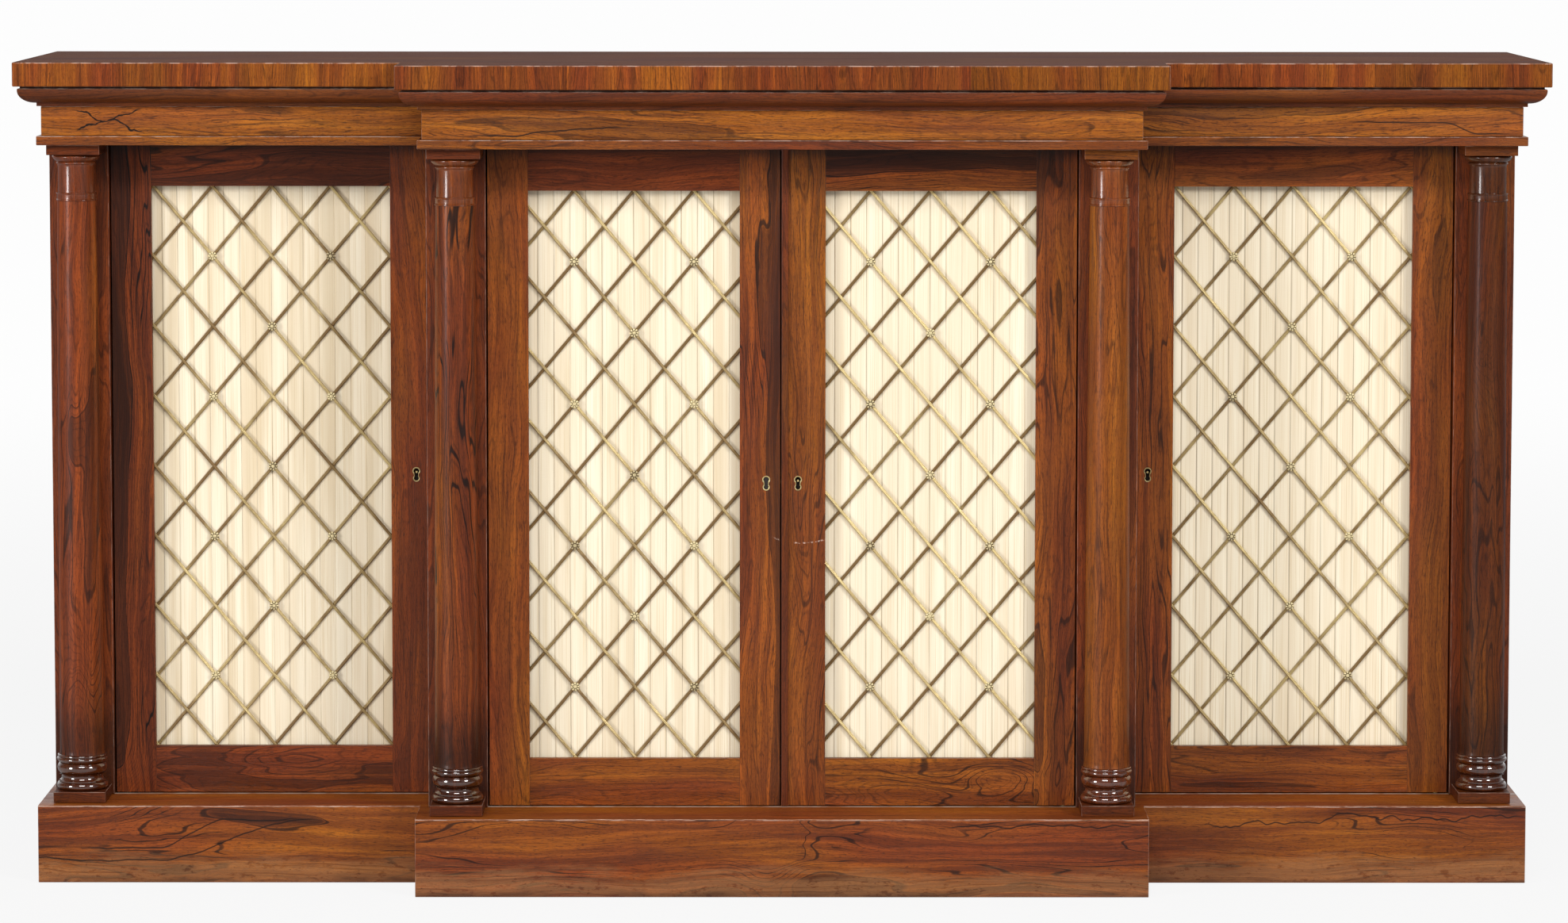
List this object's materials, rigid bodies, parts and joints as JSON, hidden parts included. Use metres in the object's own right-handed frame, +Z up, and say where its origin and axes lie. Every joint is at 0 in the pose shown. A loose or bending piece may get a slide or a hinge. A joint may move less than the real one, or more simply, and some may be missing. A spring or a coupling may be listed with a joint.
{
  "type": "chiffonier",
  "caption": "Breakfront side cabinet with turned columns, brass trellis doors over pleated silk, shelved compartments and a plain plinth.",
  "frame": {"origin": "on the floor, under the centre of the whole cabinet's box", "axes": "+X to the right as seen from the front, +Y from the front to the back, +Z up"},
  "size_m": [1.7016, 0.45, 0.92],
  "materials": {
    "rosewood": "french polished veneer with black streaks",
    "rosewood_dark": "french polished, dark",
    "rosewood_top": "french polished, worn",
    "rosewood_gold": "french polished veneer, light",
    "carcass_wood": "planed and unpolished",
    "brass": "aged and lacquered",
    "silk": "pleated cream silk"
  },
  "bodies": {
    "carcass": {"top_slab": "rosewood_top", "cornice_moulding": "rosewood", "frieze": "rosewood_gold", "architrave_bead": "rosewood_gold", "plinth_frame": "rosewood", "plinth_top": "rosewood", "carcass_top": "carcass_wood", "side_panel_left": "rosewood", "side_panel_right": "rosewood", "partition_left": "rosewood", "partition_right": "rosewood", "backboard": "carcass_wood", "shelf_left": "carcass_wood", "shelf_centre": "carcass_wood", "shelf_right": "carcass_wood", "column_block_left_outer": "rosewood_dark", "column_left_outer": "rosewood", "abacus_left_outer": "rosewood_dark", "pilaster_left_outer": "rosewood", "column_block_left_centre": "rosewood_dark", "column_left_centre": "rosewood", "abacus_left_centre": "rosewood_dark", "pilaster_left_centre": "rosewood", "column_block_right_centre": "rosewood_dark", "column_right_centre": "rosewood", "abacus_right_centre": "rosewood_dark", "pilaster_right_centre": "rosewood", "column_block_right_outer": "rosewood_dark", "column_right_outer": "rosewood", "abacus_right_outer": "rosewood_dark", "pilaster_right_outer": "rosewood", "left_door_pivot_top": "brass", "left_door_pivot_bottom": "brass", "centre_left_door_pivot_top": "brass", "centre_left_door_pivot_bottom": "brass", "centre_right_door_pivot_top": "brass", "centre_right_door_pivot_bottom": "brass", "right_door_pivot_top": "brass", "right_door_pivot_bottom": "brass"},
    "left_door": {"left_door_frame": "rosewood", "left_door_trellis": "brass", "left_door_silk": "silk", "left_door_escutcheon": "brass"},
    "left_lock_bolt": {"left_door_lock_bolt": "brass"},
    "centre_left_door": {"centre_left_door_frame": "rosewood", "centre_left_door_trellis": "brass", "centre_left_door_silk": "silk", "centre_left_door_escutcheon": "brass"},
    "flush_bolt": {"centre_left_door_flush_bolt": "brass"},
    "centre_right_door": {"centre_right_door_frame": "rosewood", "centre_right_door_trellis": "brass", "centre_right_door_silk": "silk", "centre_right_door_escutcheon": "brass", "meeting_bead": "rosewood"},
    "centre_lock_bolt": {"centre_right_door_lock_bolt": "brass"},
    "right_door": {"right_door_frame": "rosewood", "right_door_trellis": "brass", "right_door_silk": "silk", "right_door_escutcheon": "brass"},
    "right_lock_bolt": {"right_door_lock_bolt": "brass"}
  },
  "joints": [
    {"name": "left_door_hinge", "type": "hinge", "parent": "carcass", "child": "left_door", "pos_m": [-0.7432, -0.0339, 0.457], "axis": [0, 0, -1], "range_deg": [0, 95]},
    {"name": "centre_left_door_hinge", "type": "hinge", "parent": "carcass", "child": "centre_left_door", "pos_m": [-0.3152, -0.1189, 0.457], "axis": [0, 0, -1], "range_deg": [0, 95]},
    {"name": "centre_right_door_hinge", "type": "hinge", "parent": "carcass", "child": "centre_right_door", "pos_m": [0.3152, -0.1189, 0.457], "axis": [0, 0, 1], "range_deg": [0, 95]},
    {"name": "right_door_hinge", "type": "hinge", "parent": "carcass", "child": "right_door", "pos_m": [0.7432, -0.0339, 0.457], "axis": [0, 0, 1], "range_deg": [0, 95]},
    {"name": "left_lock_slide", "type": "slide", "parent": "left_door", "child": "left_lock_bolt", "axis": [1, 0, 0], "range_m": [0, 0.008]},
    {"name": "centre_lock_slide", "type": "slide", "parent": "centre_right_door", "child": "centre_lock_bolt", "axis": [-1, 0, 0], "range_m": [0, 0.008]},
    {"name": "right_lock_slide", "type": "slide", "parent": "right_door", "child": "right_lock_bolt", "axis": [-1, 0, 0], "range_m": [0, 0.008]},
    {"name": "flush_bolt_slide", "type": "slide", "parent": "centre_left_door", "child": "flush_bolt", "axis": [0, 0, 1], "range_m": [0, 0.009]}
  ]
}
